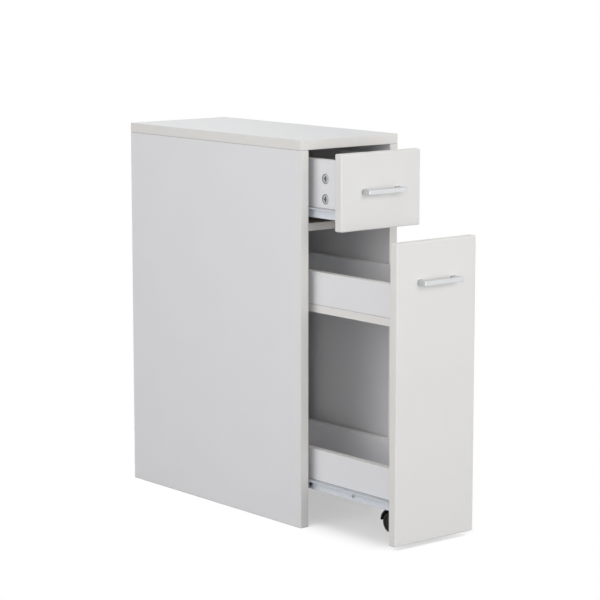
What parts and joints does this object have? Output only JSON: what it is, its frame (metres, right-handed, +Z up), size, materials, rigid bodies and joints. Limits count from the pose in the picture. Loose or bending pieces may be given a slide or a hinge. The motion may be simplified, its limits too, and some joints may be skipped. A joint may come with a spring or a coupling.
{
  "type": "slim niche cabinet",
  "caption": "Narrow white floor cabinet with an inset drawer above a tall pull-out front that carries an upper and a lower tray on roller slides and a castor.",
  "frame": {"origin": "middle of the carcass's footprint, on the floor", "axes": "+Z up, +Y towards the wall behind the cabinet, so the fronts face and open towards -Y, +X to the right of someone facing the wall"},
  "size_m": [0.19, 0.631, 0.58],
  "materials": {
    "white_melamine": "smooth white melamine-faced board, satin",
    "white_hardboard": "hardboard, lacquered white on the face that shows inside and raw brown on the other",
    "coated_steel": "white epoxy-coated sheet steel",
    "zinc_steel": "bright zinc plate",
    "satin_metal": "satin silver",
    "nylon": "natural white nylon",
    "black_plastic": "matt black",
    "beech": "raw beech"
  },
  "bodies": {
    "carcass": {"side_panel_left": "white_melamine", "side_panel_right": "white_melamine", "top_panel": "white_melamine", "fixed_shelf": "white_melamine", "back_panel": "white_hardboard", "rear_rail": "white_melamine", "carcass_cam_locks": "zinc_steel", "carcass_cam_bolts": "zinc_steel", "carcass_dowels": "beech", "drawer_rail_left": "coated_steel", "drawer_rail_right": "coated_steel", "pull_out_rail_left": "coated_steel", "pull_out_rail_right": "coated_steel", "rail_screws": "zinc_steel"},
    "drawer": {"drawer_front": "white_melamine", "drawer_side_left": "white_melamine", "drawer_side_right": "white_melamine", "drawer_back": "white_melamine", "drawer_bottom": "white_hardboard", "drawer_cam_locks": "zinc_steel", "drawer_cam_bolts": "zinc_steel", "drawer_box_screws": "zinc_steel", "drawer_handle": "satin_metal", "drawer_handle_screws": "zinc_steel", "drawer_runner_left": "coated_steel", "drawer_runner_right": "coated_steel", "drawer_runner_screws": "zinc_steel"},
    "pull_out": {"pull_out_front": "white_melamine", "rear_upright": "white_melamine", "upper_tray_board": "white_melamine", "upper_tray_wall_left": "white_melamine", "upper_tray_wall_right": "white_melamine", "lower_tray_board": "white_melamine", "lower_tray_wall_left": "white_melamine", "lower_tray_wall_right": "white_melamine", "pull_out_cam_locks": "zinc_steel", "pull_out_cam_bolts": "zinc_steel", "pull_out_dowels": "beech", "tray_wall_screws": "zinc_steel", "pull_out_handle": "satin_metal", "pull_out_handle_screws": "zinc_steel", "pull_out_runner_left": "coated_steel", "pull_out_runner_right": "coated_steel", "pull_out_runner_screws": "zinc_steel", "castor_plate": "zinc_steel", "castor_plate_screws": "zinc_steel", "castor_kingpin": "zinc_steel"},
    "drawer_rail_rollers": {"drawer_rail_rollers": "nylon"},
    "drawer_runner_rollers": {"drawer_runner_rollers": "nylon"},
    "pull_out_rail_rollers": {"pull_out_rail_rollers": "nylon"},
    "pull_out_runner_rollers": {"pull_out_runner_rollers": "nylon"},
    "castor_head": {"castor_hood": "black_plastic", "castor_axle": "zinc_steel"},
    "castor_wheel_left": {"castor_wheel_left": "black_plastic"},
    "castor_wheel_right": {"castor_wheel_right": "black_plastic"}
  },
  "joints": [
    {"name": "drawer_slide", "type": "slide", "parent": "carcass", "child": "drawer", "axis": [0, -1, 0], "range_m": [-0.07, 0.19]},
    {"name": "pull_out_slide", "type": "slide", "parent": "carcass", "child": "pull_out", "axis": [0, -1, 0], "range_m": [-0.19, 0.07]},
    {"name": "drawer_rail_rollers_spin", "type": "hinge", "parent": "carcass", "child": "drawer_rail_rollers", "pos_m": [0, -0.1875, 0.4725], "axis": [1, 0, 0], "continuous": true},
    {"name": "drawer_runner_rollers_spin", "type": "hinge", "parent": "drawer", "child": "drawer_runner_rollers", "pos_m": [0, 0.0745, 0.4725], "axis": [1, 0, 0], "continuous": true},
    {"name": "pull_out_rail_rollers_spin", "type": "hinge", "parent": "carcass", "child": "pull_out_rail_rollers", "pos_m": [0, -0.1875, 0.0628], "axis": [1, 0, 0], "continuous": true},
    {"name": "pull_out_runner_rollers_spin", "type": "hinge", "parent": "pull_out", "child": "pull_out_runner_rollers", "pos_m": [0, -0.0455, 0.0628], "axis": [1, 0, 0], "continuous": true},
    {"name": "castor_swivel", "type": "hinge", "parent": "pull_out", "child": "castor_head", "pos_m": [0, -0.3225, 0.046], "axis": [0, 0, 1], "continuous": true},
    {"name": "castor_wheel_left_spin", "type": "hinge", "parent": "castor_head", "child": "castor_wheel_left", "pos_m": [0, -0.3165, 0.0155], "axis": [1, 0, 0], "continuous": true},
    {"name": "castor_wheel_right_spin", "type": "hinge", "parent": "castor_head", "child": "castor_wheel_right", "pos_m": [0, -0.3165, 0.0155], "axis": [1, 0, 0], "continuous": true}
  ],
  "couplings": [
    {"joint": "drawer_rail_rollers_spin", "follows": "drawer_slide", "rad_per_m": 166.67},
    {"joint": "drawer_runner_rollers_spin", "follows": "drawer_slide", "rad_per_m": 166.67},
    {"joint": "pull_out_rail_rollers_spin", "follows": "pull_out_slide", "rad_per_m": 166.67},
    {"joint": "pull_out_runner_rollers_spin", "follows": "pull_out_slide", "rad_per_m": 166.67}
  ]
}
